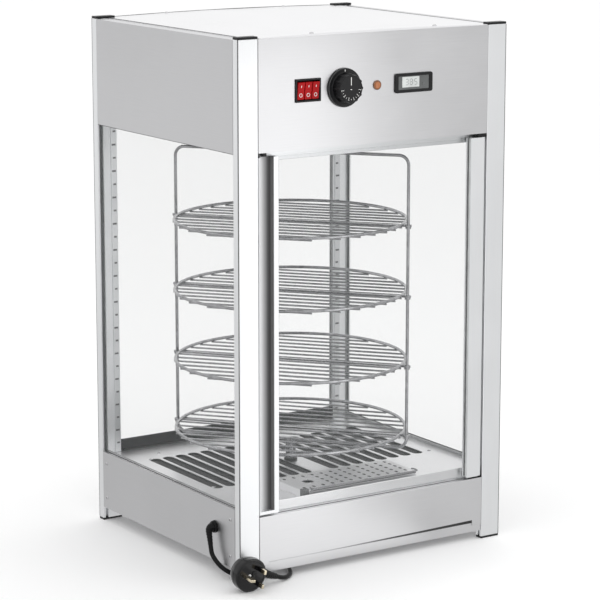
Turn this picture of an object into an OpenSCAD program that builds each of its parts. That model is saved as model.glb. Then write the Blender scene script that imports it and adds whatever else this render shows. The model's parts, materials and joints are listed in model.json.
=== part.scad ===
// Rotating hot food display case: four aluminium posts carry a steel head with the controls, a steel base
// with the heater and the drive, three fixed panes and a glass door. A wire carousel with four round racks
// stands on the drive shaft. Millimetres, +Z up, front towards -Y, origin at the bottom centre.

/* [Case] */
// Width over the corner posts
case_w = 480; // [460:1:500]
// Depth over the corner posts
case_d = 430; // [425:1:450]
// Height to the top of the post caps
case_h = 810; // [800:1:830]
// Face width of a corner post
post_w = 34; // [32:1:36]
// Depth of a corner post
post_d = 14; // [14:1:16]
// Thickness of the steel sheet
sheet = 1.2; // [1:0.1:1.5]
// Thickness of the panes
glass_t = 4; // [3:0.5:4]
// Height of the lower edge of the head
head_z = 642; // [640:1:645]
// Height of the floor of the cabinet
floor_z = 110; // [108:1:112]
// Lowest edge of the base panels above the table
base_z = 22.5; // [20:0.5:24]

/* [Carousel] */
// Distance of the carousel axis from the middle of the case, to the right
axis_x = -6; // [-8:1:0]
// Distance of the carousel axis from the origin, to the rear
axis_y = 18; // [16:1:20]
// Turn of the carousel at rest
rack_turn = -50; // [-90:5:90]
// Outer radius of a rack
rack_r = 184; // [170:1:185]
// Height of the lowest rack
rack_z = 165.5; // [164:0.5:168]
// Distance from one rack to the next
rack_pitch = 111; // [105:1:112]
// Number of racks
racks = 4; // [4:1:4]
// Distance between neighbouring rack wires
wire_pitch = 25; // [20:1:30]

/* [Door] */
// Thickness of the door profiles
door_t = 12; // [12:0.5:12]
// Lower edge of the door
door_z0 = 103; // [102:0.5:104]
// Upper edge of the door
door_z1 = 636; // [630:1:636]
// Width of the handle profile
handle_w = 34.5; // [32:0.5:38]
// Width of the hinge stile
stile_w = 27; // [25:1:30]

/* [Controls] */
// Height of the middle of the control row
control_z = 728; // [720:1:735]
// Middle of the triple rocker switch
switch_x = -121; // [-125:1:-118]
// Middle of the thermostat knob
knob_x = -58; // [-60:1:-56]
// Reach of the knob in front of the case
knob_reach = 20; // [20:0.5:20]
// Middle of the pilot lamp
lamp_x = 1; // [-2:1:4]
// Middle of the thermometer
gauge_x = 66.5; // [60:0.5:72]

/* [Water tray] */
// Width of the tray
tray_w = 208; // [180:2:220]
// Depth of the tray
tray_d = 82; // [70:2:84]
// Height of the pan
tray_h = 11; // [8:1:11]

/* [Cord] */
// Diameter of the mains cord
cord_d = 7; // [7:0.5:7]

/* [Hidden] */
$fn = 48;
x_out = case_w / 2;
y_front = -case_d / 2 + knob_reach / 2;
y_rear = case_d / 2 + knob_reach / 2;
x_in = x_out - post_w;
y_in_f = y_front + post_d;
y_in_r = y_rear - post_d;
gap = 0.5;
foot_h = 3;
cap_h = 3.5;
post_top = case_h - cap_h;
panel_top = post_top - 0.5;
panel_x = x_in - gap;
panel_y0 = y_in_f + gap;
panel_y1 = y_in_r - gap;
hem = 8.5;
lip_top = floor_z + 4.5;
head_gap = 0.06;
fit = 0.05;
// panes
pane_x = x_out - 6.5;
pane_top = head_z + 6;
groove_w = glass_t + 0.4;
groove_d = 7;
rear_pane_y = y_rear - post_d / 2;
// inside of the cabinet
floor_x = x_out - 2 * sheet - 0.2;
floor_y0 = y_in_f + 0.7;
floor_y1 = y_rear - 2 * sheet - 0.2;
ceil_z = head_z + 8;
// slots of the floor
slot_first = 25.6;
slot_pitch = 23.2;
slot_w = 18;
slot_y0 = axis_y - 83;
slot_y1 = axis_y + 122;
// door
door_y0 = y_front;
door_y1 = y_front + door_t;
door_mid = door_y0 + door_t / 2;
hinge_x = x_in - 8.5;
stile_x1 = x_in - 3;
stile_x0 = stile_x1 - stile_w;
handle_x0 = -x_in + gap;
handle_x1 = handle_x0 + handle_w;
pin_r = 3;
// carousel
rod_r = 2.5;
frame_r = rack_r + 5.5;
frame_z0 = rack_z - 22.5;
frame_z1 = rack_z + (racks - 1) * rack_pitch + 106.5;
frame_corner = 15;
wire_r = 1.5;
shaft_r = 5;
cross_pin_z = frame_z0 - 19;
// controls
panel_y = y_front + sheet;
rocker_w = 12.4;
rocker_h = 27;
rocker_tilt = 8;
rocker_y = y_front + 1.5;
// water tray
tray_x0 = -114;
tray_y0 = y_front + 22;
// crowned lid
lid_x = x_out - 22;
lid_t = 0.8;
lid_rise = 3;
function arch(x) = panel_top + lid_t + lid_rise * (1 - pow(x / lid_x, 2));
// cord: points of the route of its middle line
cord_r = cord_d / 2;
gland_y = -134;
gland_z = 75;
coil_x = -30;
coil_y = 40;
turn_in = 37;
turn_out = 44;
LEAD = [[-251, -139.4, 50], [-251, -140.6, 44.5], [-251, -143.4, 37], [-250, -149, 30.4], [-247.5, -155, 24],
    [-243.5, -161.5, 18], [-237.5, -167.5, 12.8], [-229.5, -171.5, 8.6], [-220.5, -173.5, 5.6],
    [-210.5, -173, 4], [-199.5, -170, 3.5], [-188, -164.5, 3.5], [-176, -156, 3.5], [-164, -145, 3.5],
    [-152, -132, 3.5], [-140, -116.5, 3.5], [-129, -99, 3.5], [-119.5, -80, 3.5], [-111.5, -60, 3.5],
    [-104, -38, 3.5], [-96, -16, 3.5], [-87.5, 5, 3.5], [-79, 24, 3.5], [-74, 40, 3.5]];
TAIL = [[14, 40, 10.5], [14, 27.4, 10.5], [12.4, 13.5, 9.6], [7.1, -1.2, 8.2], [-3.3, -14.8, 6.6],
    [-18.5, -25, 5.2], [-34.5, -32, 4.1], [-50, -39.5, 3.5], [-64.5, -48.5, 3.5], [-77.5, -59, 3.5],
    [-89, -71.5, 3.5], [-98.5, -86, 3.5], [-106.5, -101, 3.5], [-113.5, -117, 3.5],
    [-119.5, -131.5, 3.5], [-125.5, -147.5, 3.5], [-132, -164.5, 3.5], [-138.5, -181.5, 3.5],
    [-146, -196, 3.5], [-154.5, -206.5, 3.5], [-165, -214, 4.3], [-176, -218.5, 6.8], [-187, -221, 11]];

// ---- shared shapes ----

// box between two corners
module block(a, b)
    translate(a)
        cube(b - a);

// plate in the XZ plane, with its outside towards -Y at y = 0
module front_sheet(x, z0, z1)
    block([-x, 0, z0], [x, sheet, z1]);

// slot with round ends, along Y
module slot2d(w, l) {
    square([w, l - w], center = true);
    for (s = [-1, 1])
        translate([0, s * (l - w) / 2])
            circle(d = w);
}

// plate with round corners, about the origin
module plate2d(w, h, r) {
    square([w - 2 * r, h], center = true);
    square([w, h - 2 * r], center = true);
    for (sx = [-1, 1])
        for (sy = [-1, 1])
            translate([sx * (w / 2 - r), sy * (h / 2 - r)])
                circle(r = r);
}

// pan-head screw whose head stands on z = 0
module screw(head_r = 3.5, head_h = 1.6, shank = 5) {
    cylinder(r1 = head_r, r2 = head_r - 0.8, h = head_h);
    translate([0, 0, -shank])
        cylinder(r = 1.5, h = shank);
}

// hole for a screw's shank
module screw_hole(shank = 6)
    translate([0, 0, -shank])
        cylinder(r = 1.6, h = 2 * shank);

// places of the screws on the left side of the base
module at_side_screws()
    for (z = [40, 96])
        for (y = [panel_y0 + 12, panel_y1 - 12])
            translate([-x_out, y, z])
                rotate([0, -90, 0])
                    children();

// places of the lid screws, in the front and rear edges of the lid
module at_lid_screws()
    for (x = [-110, 110])
        for (y = [y_front + 7, y_rear - 8])
            translate([x, y, arch(x)])
                children();

// ---- tube swept along points ----

function unit(v) = v / norm(v);
function heading(p, i) = unit(p[min(i + 1, len(p) - 1)] - p[max(i - 1, 0)]);
function side_of(d) = unit(cross(d, abs(d[2]) > 0.8 ? [0, 1, 0] : [0, 0, 1]));
// a side direction carried along from ring to ring, so the tube does not twist
function carried(p, i, s) = i == 0 ? [side_of(heading(p, 0))] : let (before = carried(p, i - 1, s),
    d = heading(p, i), v = before[i - 1]) concat(before, [unit(v - (v * d) * d)]);
function ring(c, d, s, r, sides) = [for (k = [0:sides - 1])
    c + r * (cos(360 * k / sides) * s + sin(360 * k / sides) * cross(d, s))];

// tube along the points p, with radius r0 at the first point and r1 at the last
module tube(p, r0, r1, sides = 10) {
    n = len(p);
    sides_of = carried(p, n - 1, 0);
    verts = [for (i = [0:n - 1])
        each ring(p[i], heading(p, i), sides_of[i], r0 + (r1 - r0) * i / (n - 1), sides)];
    walls = [for (i = [0:n - 2]) for (k = [0:sides - 1])
        [i * sides + k, (i + 1) * sides + k, (i + 1) * sides + (k + 1) % sides, i * sides + (k + 1) % sides]];
    first_cap = [[for (k = [0:sides - 1]) k]];
    last_cap = [[for (k = [sides - 1:-1:0]) (n - 1) * sides + k]];
    polyhedron(verts, concat(walls, first_cap, last_cap));
}

// ---- posts ----

// extrusion of a front left post: pane groove in the rear face, pane groove in the inner face, hollow core
module post_profile() {
    difference() {
        square([post_w, post_d]);
        translate([6.5 - groove_w / 2, post_d - groove_d])
            square([groove_w, groove_d + 1]);
        translate([post_w - groove_d + 1, (post_d - groove_w) / 2])
            square([groove_d, groove_w]);
        translate([11, 2.2])
            square([14.5, post_d - 4.4]);
    }
}

// moves a front left corner piece to the corner (sx, sy)
module at_corner(sx, sy)
    translate([sx * x_out, sy > 0 ? y_rear : y_front, 0])
        mirror([sx > 0 ? 1 : 0, 0, 0])
            mirror([0, sy > 0 ? 1 : 0, 0])
                children();

module post(sx, sy)
    color("gainsboro")
        at_corner(sx, sy)
            translate([0, 0, foot_h])
                linear_extrude(post_top - foot_h)
                    post_profile();

module post_front_left() post(-1, -1);
module post_front_right() post(1, -1);
module post_rear_left() post(-1, 1);
module post_rear_right() post(1, 1);

// plastic caps with a spigot in the hollow core
module post_end_caps() {
    color("dimgray")
        for (sx = [-1, 1])
            for (sy = [-1, 1])
                at_corner(sx, sy) {
                    block([0, 0, post_top], [post_w, post_d, case_h]);
                    block([11.5, 2.7, post_top - 8], [25, post_d - 2.7, post_top]);
                    block([0, 0, 0], [post_w, post_d, foot_h]);
                    block([11.5, 2.7, foot_h], [25, post_d - 2.7, foot_h + 8]);
                }
}

// perforated strips on the inner faces of the posts, for fixed shelves
module slotted_strips() {
    strip_w = 10;
    strip_z0 = floor_z + 1;
    strip_z1 = ceil_z - 1;
    pitch = 21;
    color("silver")
        for (sx = [-1, 1])
            for (sy = [-1, 1])
                at_corner(sx, sy)
                    difference() {
                        block([22.5, post_d, strip_z0], [22.5 + strip_w, post_d + sheet, strip_z1]);
                        for (i = [0:24])
                            translate([27.5 + (i % 2 == 0 ? 1 : 0), post_d, strip_z0 + 14 + i * pitch])
                                cube([i % 2 == 0 ? 5 : 7, 4, 3], center = true);
                    }
}

// ---- head ----

module control_panel() {
    flange = 14;
    color("lightgray")
        translate([0, y_front, 0])
            difference() {
                union() {
                    front_sheet(panel_x, head_z, panel_top);
                    block([-panel_x, sheet, head_z], [panel_x, flange - 2, head_z + sheet]);
                    block([-panel_x, sheet, panel_top - sheet], [panel_x, flange, panel_top]);
                }
                block([switch_x - 20, -1, control_z - 15], [switch_x + 20, 2, control_z + 15]);
                block([gauge_x - 31, -1, control_z - 11], [gauge_x + 31, 2, control_z + 11]);
                for (x = [knob_x, lamp_x])
                    translate([x, -1, control_z])
                        rotate([-90, 0, 0])
                            cylinder(r = 5.2, h = 4);
                translate([0, -y_front, 0])
                    at_lid_screws()
                        screw_hole(8);
            }
}

// side panel of the head, drawn on the left
module head_side() {
    block([-x_out, panel_y0, head_z], [-x_out + sheet, panel_y1, panel_top]);
    block([-x_out + sheet, panel_y0, head_z], [-x_out + 2 * sheet, panel_y1, head_z + hem]);
    block([-x_out + sheet, panel_y0, panel_top - sheet], [-x_out + 26, panel_y1, panel_top]);
}
module top_panel_left() color("lightgray") head_side();
module top_panel_right() color("lightgray") mirror([1, 0, 0]) head_side();

module top_panel_rear() {
    color("lightgray")
        difference() {
            union() {
                block([-panel_x, y_rear - sheet, head_z], [panel_x, y_rear, panel_top]);
                block([-panel_x, y_rear - 2 * sheet, head_z], [panel_x, y_rear - sheet, head_z + hem]);
                block([-panel_x, y_rear - 18, panel_top - sheet], [panel_x, y_rear - sheet, panel_top]);
            }
            at_lid_screws()
                screw_hole(8);
            for (i = [-4:4])
                translate([i * 18, y_rear, 745])
                    rotate([90, 0, 0])
                        linear_extrude(8, center = true)
                            slot2d(5, 50);
        }
}

// crowned lid: a shallow arch across the width
module top_lid() {
    steps = 24;
    upper = [for (i = [0:steps]) let (x = -lid_x + 2 * lid_x * i / steps) [x, arch(x)]];
    lower = [for (i = [steps:-1:0]) let (x = -lid_x + 2 * lid_x * i / steps) [x, arch(x) - lid_t]];
    color("whitesmoke")
        difference() {
            translate([0, y_rear - 2, 0])
                rotate([90, 0, 0])
                    linear_extrude(case_d - 4)
                        polygon(concat(upper, lower));
            for (sx = [-1, 1])
                for (sy = [-1, 1])
                    at_corner(sx, sy)
                        block([-1, -1, post_top - 5], [post_w + gap, post_d + gap, case_h + 5]);
            at_lid_screws()
                screw_hole();
        }
}

module ceiling_plate() {
    color("lightgray")
        difference() {
            union() {
                block([-floor_x, floor_y0, ceil_z], [floor_x, panel_y1, ceil_z + sheet]);
                block([-panel_x, panel_y1, ceil_z], [panel_x, y_rear - 10.5, ceil_z + sheet]);
            }
            translate([axis_x, axis_y, ceil_z - 1])
                cylinder(r = 6.1, h = 4);
            for (x = [-100, 100])
                translate([x, -95, ceil_z - 1])
                    cylinder(r = 4.1, h = 4);
        }
}

// bush that guides the top pin of the carousel
module ceiling_bush() {
    color("white")
        translate([axis_x, axis_y, 0])
            difference() {
                union() {
                    translate([0, 0, ceil_z - 6])
                        cylinder(r = 10, h = 6);
                    translate([0, 0, ceil_z])
                        cylinder(r = 6, h = 20);
                }
                translate([0, 0, ceil_z - 7])
                    cylinder(r = pin_r + fit, h = 28);
            }
}

// tubular lamp in a shallow trough under the ceiling
module ceiling_lamp() {
    color("ivory")
        translate([0, -95, 0]) {
            block([-125, -16, ceil_z - 5], [125, 16, ceil_z]);
            for (x = [-100, 100])
                translate([x, 0, ceil_z])
                    cylinder(r = 4, h = 12);
            translate([-118, 0, ceil_z - 11])
                rotate([0, 90, 0])
                    cylinder(r = 6, h = 236);
        }
}

// angle behind the upper edge of the door
module door_header() {
    color("silver") {
        block([-panel_x, floor_y0, head_z - 14], [panel_x, floor_y0 + sheet, ceil_z]);
        block([-panel_x, floor_y0 + sheet, ceil_z - sheet], [panel_x, floor_y0 + 13, ceil_z]);
    }
}

// lower hinge block on the fascia and upper hinge block under the control panel, each with its pin
module door_hinge_brackets() {
    color("black") {
        translate([hinge_x, door_mid, 0]) {
            block([-8, -5.5, door_z0 - 3], [8, 5.5, door_z0 - 0.4]);
            translate([0, 0, door_z0 - 0.4])
                cylinder(r = pin_r, h = 11);
            block([-8, -5.5, door_z1 + 0.5], [8, 5.5, head_z]);
            translate([0, 0, door_z1 - 11])
                cylinder(r = pin_r, h = 12);
        }
    }
}

// magnetic catch above the free end of the door
module door_catch() {
    color("black")
        block([handle_x0 + 9, door_y0 + 2, door_z1 + 0.5], [handle_x0 + 15, door_y0 + 11, head_z]);
}

// ---- base ----

module base_fascia() {
    fascia_top = floor_z - 10;
    color("lightgray")
        translate([0, y_front, 0])
            difference() {
                union() {
                    front_sheet(panel_x, base_z + 1.5, fascia_top);
                    block([-panel_x, sheet, fascia_top - sheet], [panel_x, door_t + 1, fascia_top]);
                }
                block([-x_in + 18, -1, base_z], [x_in - 18, 2, base_z + 6.8]);
            }
}

// side panel of the base, drawn on the left, with its rim folded inwards
module base_side() {
    difference() {
        union() {
            block([-x_out, panel_y0, base_z], [-x_out + sheet, panel_y1, lip_top]);
            block([-x_out + sheet, panel_y0, lip_top - hem], [-x_out + 2 * sheet, panel_y1, lip_top]);
            block([-x_out + sheet, panel_y0, base_z], [-x_out + 14, panel_y1, base_z + sheet]);
        }
        at_side_screws()
            screw_hole();
    }
}

module base_panel_left() {
    color("lightgray")
        difference() {
            base_side();
            translate([-x_out - 1, gland_y, gland_z])
                rotate([0, 90, 0])
                    cylinder(r = 6.1, h = 4);
        }
}
module base_panel_right() color("lightgray") mirror([1, 0, 0]) base_side();

module base_panel_rear() {
    color("lightgray")
        difference() {
            union() {
                block([-panel_x, y_rear - sheet, base_z], [panel_x, y_rear, lip_top]);
                block([-panel_x, y_rear - 2 * sheet, lip_top - hem], [panel_x, y_rear - sheet, lip_top]);
                block([-panel_x, y_rear - 12, base_z], [panel_x, y_rear - sheet, base_z + sheet]);
            }
            for (i = [-5:5])
                translate([i * 22, y_rear, 66])
                    rotate([90, 0, 0])
                        linear_extrude(8, center = true)
                            slot2d(6, 44);
        }
}

// channel under the fascia
module front_bottom_rail() {
    rail_z0 = base_z - 9;
    rail_z1 = base_z + 6;
    color("whitesmoke")
        translate([0, y_front + sheet + 0.3, 0]) {
            front_sheet(panel_x, rail_z0, rail_z1);
            block([-panel_x, sheet, rail_z0], [panel_x, 12, rail_z0 + sheet]);
            block([-panel_x, sheet, rail_z1 - sheet], [panel_x, 12, rail_z1]);
        }
}

module bottom_plate() {
    z0 = base_z + sheet;
    color("lightgray")
        difference() {
            union() {
                block([-x_out + sheet + 0.3, panel_y0, z0], [x_out - sheet - 0.3, panel_y1, z0 + sheet]);
                block([-panel_x, panel_y1, z0], [panel_x, y_rear - sheet - 0.3, z0 + sheet]);
            }
            for (sx = [-1, 1])
                for (i = [0:5])
                    translate([sx * (70 + i * 20), axis_y, z0 - 1])
                        linear_extrude(4)
                            slot2d(6, 90);
        }
}

// floor of the cabinet: two groups of warm-air slots, a raised front lip and the hole for the bush
module floor_plate() {
    z0 = floor_z - sheet;
    slot_l = slot_y1 - slot_y0;
    color("gainsboro")
        difference() {
            union() {
                block([-floor_x, floor_y0, z0], [floor_x, panel_y1, floor_z]);
                block([-panel_x, panel_y1, z0], [panel_x, floor_y1, floor_z]);
                block([-panel_x, floor_y0, floor_z], [panel_x, floor_y0 + sheet, floor_z + 7]);
            }
            for (sx = [-1, 1])
                for (i = [0:7])
                    translate([sx * (slot_first + i * slot_pitch), (slot_y0 + slot_y1) / 2, z0 - 1])
                        linear_extrude(4)
                            slot2d(slot_w, slot_l);
            translate([axis_x, axis_y, z0 - 1])
                cylinder(r = 8.1, h = 4);
        }
}

module floor_bush() {
    color("black")
        translate([axis_x, axis_y, 0])
            difference() {
                union() {
                    translate([0, 0, floor_z])
                        cylinder(r = 10.5, h = 3.5);
                    translate([0, 0, floor_z - 6])
                        cylinder(r = 8, h = 6);
                }
                translate([0, 0, floor_z - 7])
                    cylinder(r = shaft_r + fit, h = 12);
            }
}

// ---- panes ----

module side_pane()
    block([-pane_x - glass_t / 2, y_in_f - groove_d + 1, floor_z],
        [-pane_x + glass_t / 2, y_in_r + groove_d - 1, pane_top]);
module side_glass_left() color("lightcyan", 0.3) side_pane();
module side_glass_right() color("lightcyan", 0.3) mirror([1, 0, 0]) side_pane();

module rear_glass() {
    reach = x_in + 5;
    color("lightcyan", 0.3)
        block([-reach, rear_pane_y - glass_t / 2, floor_z + 2], [reach, rear_pane_y + glass_t / 2, pane_top]);
}

module rear_glass_rail() {
    color("dimgray")
        difference() {
            block([-panel_x, rear_pane_y - 3.4, floor_z], [panel_x, rear_pane_y + 3.4, floor_z + 17]);
            block([-x_in, rear_pane_y - glass_t / 2 - 0.1, floor_z + 2],
                [x_in, rear_pane_y + glass_t / 2 + 0.1, floor_z + 18]);
        }
}

// ---- inside the base and the head ----

// two tubular heaters, each a long hairpin under one group of slots
module heating_elements() {
    tube_r = 4;
    bend_r = 40;
    run_y0 = slot_y0 + 10;
    run_y1 = slot_y1 - 30;
    mid_x = 108;
    heater_z = 88;
    color("saddlebrown")
        for (sx = [-1, 1])
            translate([sx * mid_x, 0, heater_z]) {
                for (s = [-1, 1]) {
                    translate([s * bend_r, run_y0, 0])
                        rotate([-90, 0, 0])
                            cylinder(r = tube_r, h = run_y1 - run_y0);
                    translate([s * bend_r, run_y0 - 14, 0])
                        rotate([-90, 0, 0])
                            cylinder(r = 2, h = 14);
                }
                translate([0, run_y1, 0])
                    rotate_extrude(angle = 180)
                        translate([bend_r, 0])
                            circle(r = tube_r);
                for (y = [run_y0 + 6, run_y1 - 4])
                    difference() {
                        block([-bend_r - 8, y - 1, base_z + 2 * sheet - heater_z], [bend_r + 8, y + 1, 6]);
                        for (s = [-1, 1])
                            translate([s * bend_r, y - 2, 0])
                                rotate([-90, 0, 0])
                                    cylinder(r = tube_r - 0.01, h = 4);
                        block([-bend_r + 12, y - 2, -40], [bend_r - 12, y + 2, -4]);
                    }
            }
}

// synchronous gear motor on two legs that hang from the floor plate
module gear_motor() {
    body_r = 27;
    z1 = floor_z - 24;
    color("slategray")
        translate([axis_x, axis_y, 0])
            difference() {
                union() {
                    translate([0, 0, z1 - 26])
                        cylinder(r = body_r, h = 26);
                    block([-8, -42, z1 - 2], [8, 42, z1]);
                    for (s = [-1, 1])
                        translate([0, s * 37, z1])
                            cylinder(r = 4, h = floor_z - sheet - z1);
                }
                translate([0, 0, z1 - 18])
                    cylinder(r = shaft_r + fit, h = 20);
            }
}

module terminal_block() {
    z0 = base_z + 2 * sheet;
    color("ivory")
        translate([-205, -134, z0])
            difference() {
                cube([18, 52, 16]);
                for (i = [0:4])
                    translate([9, 6 + i * 10, 6])
                        cylinder(r = 2.5, h = 12);
            }
}

// thermostat behind the panel, with the bore of its dial shaft
module thermostat_body() {
    color("silver")
        translate([knob_x, panel_y, control_z])
            rotate([-90, 0, 0])
                difference() {
                    union() {
                        translate([0, 0, -1.4])
                            cylinder(r = 5, h = 1.5);
                        translate([-17, -20, 0.1])
                            cube([34, 40, 26]);
                    }
                    translate([0, 0, -5])
                        cylinder(r = pin_r + fit, h = 20);
                }
}

// ---- controls ----

// frame of the triple rocker switch with its body behind the panel
module switch_bezel() {
    w = 44;
    h = 34;
    color("black")
        translate([switch_x, 0, control_z])
            difference() {
                union() {
                    block([-w / 2, y_front - 2.2, -h / 2], [w / 2, y_front, h / 2]);
                    block([-19.8, y_front, -14.8], [19.8, y_front + 22, 14.8]);
                }
                block([-19.2, y_front - 3, -14.2], [19.2, y_front + 12, 14.2]);
            }
}

// pilot lamp: ring in front of the panel, barrel behind it
module pilot_lamp() {
    color("orange")
        translate([lamp_x, y_front, control_z])
            rotate([90, 0, 0]) {
                cylinder(r = 7.2, h = 1.6);
                translate([0, 0, 1.6])
                    cylinder(r1 = 5.4, r2 = 4, h = 2);
                translate([0, 0, -16])
                    cylinder(r = 5, h = 16);
            }
}

// thermometer: bezel in front of the panel, case behind it
module thermometer() {
    w = 68.5;
    h = 29;
    color("black")
        translate([gauge_x, y_front, control_z])
            difference() {
                union() {
                    rotate([90, 0, 0])
                        linear_extrude(2.5)
                            plate2d(w, h, 3.5);
                    block([-30.5, 0, -10.5], [30.5, 14, 10.5]);
                }
                rotate([90, 0, 0])
                    translate([0, 0, 1])
                        linear_extrude(2)
                            plate2d(56, 20.5, 1);
            }
}

// screws of the lid and of the base panels
module case_screws() {
    color("silver") {
        translate([0, 0, head_gap])
            at_lid_screws()
                screw();
        for (m = [0, 1])
            mirror([m, 0, 0])
                at_side_screws()
                    screw(2.6, 1.2, 4);
    }
}

// ---- cord and plug ----

// cable gland: nut on the panel, elbow and tapered sleeve that point down
module cord_gland() {
    ELBOW = [[-244.5, -134, 75], [-247, -134, 74.5], [-249.3, -134.2, 72.8], [-250.6, -134.9, 70],
        [-251, -135.9, 66], [-251, -137, 61], [-251, -138.2, 55.5], [-251, -139.4, 50]];
    color("black") {
        translate([-x_out, gland_y, gland_z])
            rotate([0, -90, 0]) {
                cylinder(r = 9.5, h = 4.5);
                translate([0, 0, -10])
                    cylinder(r = 6, h = 10);
            }
        tube(ELBOW, 7.5, 4.2, 12);
    }
}

module cord_lead() color("black") tube(LEAD, cord_r, cord_r);
module cord_tail() color("black") tube(TAIL, cord_r, cord_r);

// outer shape of the coil: two layers of two turns
module cord_coil() {
    color("black")
        translate([coil_x, coil_y, 0])
            rotate_extrude()
                translate([turn_in - cord_r, 0])
                    square([turn_out - turn_in + cord_d, 2 * cord_d]);
}

// the plug lies on its edge against the foot of the front left post, pins to the front
module at_plug()
    translate([-241, -238.6, 25.7])
        rotate([-84, 0, 0])
            rotate([0, 0, 8])
                children();

module plug_body() {
    color("black") {
        at_plug()
            rotate_extrude()
                polygon([[0, 0], [24, 0], [26, 2], [26, 14], [22, 24], [14, 31], [0, 33]]);
        tube([[-187, -221, 11], [-194, -222.6, 13.7], [-202, -224, 17], [-210, -225, 21], [-219, -225.5, 25.5]],
            4.2, 7.5, 12);
    }
}

module plug_pins() {
    color("gold")
        at_plug()
            for (p = [[-11, 0, 8, 4, 22], [11, -11, 4, 6.4, 17.7], [11, 11, 4, 6.4, 17.7]])
                block([p[0] - p[2] / 2, p[1] - p[3] / 2, -p[4]], [p[0] + p[2] / 2, p[1] + p[3] / 2, 0]);
}

// ---- door ----

module door_glass() {
    color("lightcyan", 0.3)
        block([handle_x1 - 7, door_mid - glass_t / 2, door_z0 + 1],
            [stile_x0 + 7, door_mid + glass_t / 2, door_z1 - 1]);
}

// handle profile: a cove for the fingers, then a lip that holds the pane
module door_handle() {
    cove_d = 9;
    cove_w = 15.5;
    cove_r = (pow(cove_w, 2) + pow(cove_d, 2)) / (2 * cove_d);
    cove_x = handle_x0 + 17;
    cove_z = door_z0 + 5;
    color("gainsboro")
        difference() {
            block([handle_x0, door_y0, door_z0], [handle_x1, door_y1, door_z1]);
            intersection() {
                translate([cove_x, door_y0 + cove_d - cove_r, cove_z])
                    cylinder(r = cove_r, h = door_z1 - cove_z + 1);
                block([handle_x0, door_y0 - 1, door_z0], [cove_x + 1, door_y1, door_z1 + 2]);
            }
            block([cove_x, door_y0 - 1, cove_z], [cove_x + 9, door_y0 + cove_d, door_z1 + 1]);
            block([handle_x1 - 7.2, door_mid - glass_t / 2 - 0.1, door_z0 - 1],
                [handle_x1 + 1, door_mid + glass_t / 2 + 0.1, door_z1 + 1]);
        }
}

// hinge stile with the bores of both pins
module door_hinge_stile() {
    color("gainsboro")
        difference() {
            union() {
                block([stile_x0, door_y0, door_z0], [hinge_x, door_y1, door_z1]);
                block([hinge_x, door_y0 + 1.5, door_z0], [stile_x1, door_y1 - 1.5, door_z1]);
            }
            block([stile_x0 - 1, door_mid - glass_t / 2 - 0.1, door_z0 - 1],
                [stile_x0 + 7.2, door_mid + glass_t / 2 + 0.1, door_z1 + 1]);
            for (z = [door_z0 - 1, door_z1 - 12])
                translate([hinge_x, door_mid, z])
                    cylinder(r = pin_r + fit, h = 13);
        }
}

// black sealing strips where the pane enters the profiles
module door_seals() {
    color("black")
        for (s = [-1, 1]) {
            y0 = s < 0 ? door_mid - glass_t / 2 - 2 : door_mid + glass_t / 2;
            block([stile_x0 - 2, y0, door_z0 + 1], [stile_x0, y0 + 2, door_z1 - 1]);
        }
}

// ---- carousel ----

module on_axis(z)
    translate([axis_x, axis_y, z])
        rotate([0, 0, rack_turn])
            children();

// shaft from the gear motor up into the foot of the carousel, with its cross pin
module drive_shaft() {
    z0 = floor_z - 41;
    color("silver")
        on_axis(0) {
            translate([0, 0, z0])
                cylinder(r = shaft_r, h = frame_z0 - 9.5 - z0);
            translate([-10, 0, cross_pin_z])
                rotate([0, 90, 0])
                    cylinder(r = 1.5, h = 20);
        }
}

// corner of the wire loop, in the XZ plane
module loop_corner(x, z, turn)
    translate([x, 0, z])
        rotate([90, 0, 0])
            rotate([0, 0, turn])
                rotate_extrude(angle = 90)
                    translate([frame_corner, 0])
                        circle(r = rod_r);

// closed wire loop with its top pin, rack collars and the foot that sits on the cross pin
module rack_frame() {
    side_x = frame_r - frame_corner;
    color("silver")
        on_axis(0)
            difference() {
                union() {
                    for (s = [-1, 1])
                        translate([s * frame_r, 0, frame_z0 + frame_corner])
                            cylinder(r = rod_r, h = frame_z1 - frame_z0 - 2 * frame_corner);
                    for (z = [frame_z0, frame_z1])
                        translate([-side_x, 0, z])
                            rotate([0, 90, 0])
                                cylinder(r = rod_r, h = 2 * side_x);
                    loop_corner(side_x, frame_z1 - frame_corner, 0);
                    loop_corner(-side_x, frame_z1 - frame_corner, 90);
                    loop_corner(-side_x, frame_z0 + frame_corner, 180);
                    loop_corner(side_x, frame_z0 + frame_corner, 270);
                    translate([0, 0, frame_z1])
                        cylinder(r = pin_r, h = ceil_z + 5 - frame_z1);
                    translate([0, 0, frame_z0 - 27])
                        cylinder(r = 8, h = 29);
                    for (i = [0:racks - 1])
                        for (s = [-1, 1])
                            translate([s * frame_r, 0, rack_z + i * rack_pitch - 7])
                                cylinder(r = 4.5, h = 3);
                }
                translate([0, 0, frame_z0 - 28])
                    cylinder(r = shaft_r + fit, h = 19);
                block([-9, -1.7, frame_z0 - 28], [9, 1.7, cross_pin_z + 1.5]);
            }
}

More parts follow.
